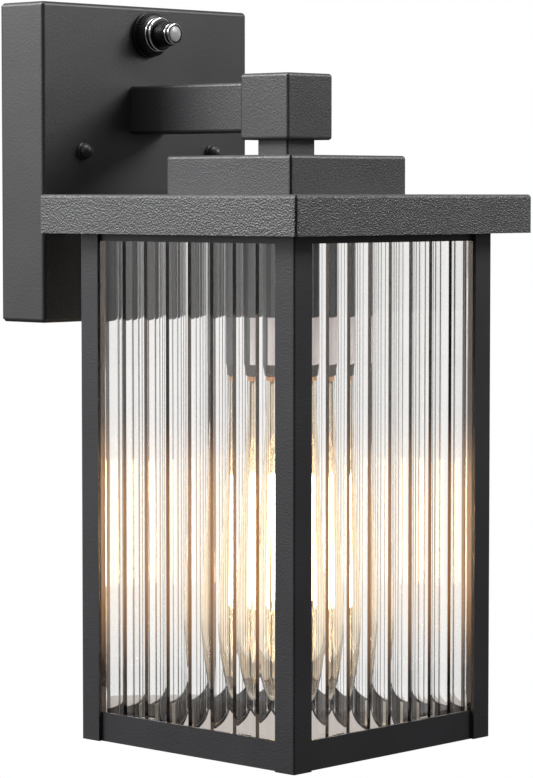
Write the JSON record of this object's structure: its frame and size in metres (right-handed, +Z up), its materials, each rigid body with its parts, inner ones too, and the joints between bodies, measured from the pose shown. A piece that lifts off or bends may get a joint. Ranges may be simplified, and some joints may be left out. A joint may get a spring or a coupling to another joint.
{
  "type": "outdoor wall lantern",
  "caption": "Square outdoor wall lantern: flat roof and four-post cage with fluted glass panes, hung by a short arm from a rectangular wall plate with a light sensor.",
  "frame": {"origin": "centre of the wall plate's outline, on the wall's surface", "axes": "+Y goes into the wall, +Z is up, +X is to the right for someone who faces the wall"},
  "size_m": [0.127, 0.1585, 0.27],
  "materials": {
    "black_metal": "matte textured black powder coat",
    "steel": "zinc plated",
    "ground_green": "green passivated screw",
    "foam": "black foam",
    "bush_plastic": "moulded",
    "fluted_glass": "clear, fluted",
    "bulb_clear": "clear, faint amber",
    "holder_dark": "dark moulded lampholder",
    "label_paper": "plain pale label round the lampholder",
    "brass_shell": "bright brass",
    "bulb_insulator": "black insulator",
    "filament": "lit filament strips",
    "wire": "nickel wire",
    "sensor_black": "black moulded",
    "sensor_chrome": "bright rings",
    "sensor_lens": "smoked translucent",
    "photocell": "photoresistor face"
  },
  "bodies": {
    "lantern": {"wall_canopy": "black_metal", "arm_tube": "black_metal", "knuckle_cube": "black_metal", "neck_spacer": "black_metal", "upper_cap": "black_metal", "roof": "black_metal", "cage_top_plate": "black_metal", "socket_sleeve": "black_metal", "plate_cap_nuts": "black_metal", "corner_post_front_right": "black_metal", "corner_post_rear_right": "black_metal", "corner_post_rear_left": "black_metal", "corner_post_front_left": "black_metal", "top_rail_front": "black_metal", "top_rail_right": "black_metal", "top_rail_rear": "black_metal", "top_rail_left": "black_metal", "bottom_rail_front": "black_metal", "bottom_rail_right": "black_metal", "bottom_rail_rear": "black_metal", "bottom_rail_left": "black_metal", "box_strap": "steel", "cross_strap": "steel", "strap_rivet": "steel", "plate_studs": "steel", "stud_lock_nuts": "steel", "arm_root_plug": "steel", "arm_screws": "steel", "threaded_nipple": "steel", "nipple_nuts": "steel", "glass_clips": "steel", "socket_bracket": "steel", "socket_screws": "steel", "sensor_lock_nut": "steel", "ground_screw": "ground_green", "wall_gasket": "foam", "wire_bush": "bush_plastic", "glass_pane_front": "fluted_glass", "glass_pane_right": "fluted_glass", "glass_pane_rear": "fluted_glass", "glass_pane_left": "fluted_glass", "lampholder": "holder_dark", "socket_shell": "brass_shell", "socket_contact": "brass_shell", "sensor_barrel": "sensor_black", "sensor_collar": "sensor_black", "sensor_ring": "sensor_chrome", "sensor_bezel": "sensor_chrome", "sensor_lens": "sensor_lens", "photocell": "photocell"},
    "bulb_eyelet": {"bulb_eyelet": "brass_shell"},
    "bulb": {"bulb_base": "brass_shell", "bulb_insulator": "bulb_insulator", "bulb_glass": "bulb_clear", "bulb_stem": "bulb_clear", "bulb_filaments": "filament", "bulb_supports": "wire"}
  },
  "joints": [
    {"name": "bulb_travel", "type": "slide", "parent": "lantern", "child": "bulb_eyelet", "axis": [0, 0, -1], "range_m": [0, 0.02]},
    {"name": "bulb_turn", "type": "hinge", "parent": "bulb_eyelet", "child": "bulb", "pos_m": [0, -0.095, -0.079], "axis": [0, 0, -1], "range_deg": [0, 1980]}
  ],
  "couplings": [
    {"joint": "bulb_travel", "follows": "bulb_turn", "m_per_rad": 0.00057757}
  ]
}
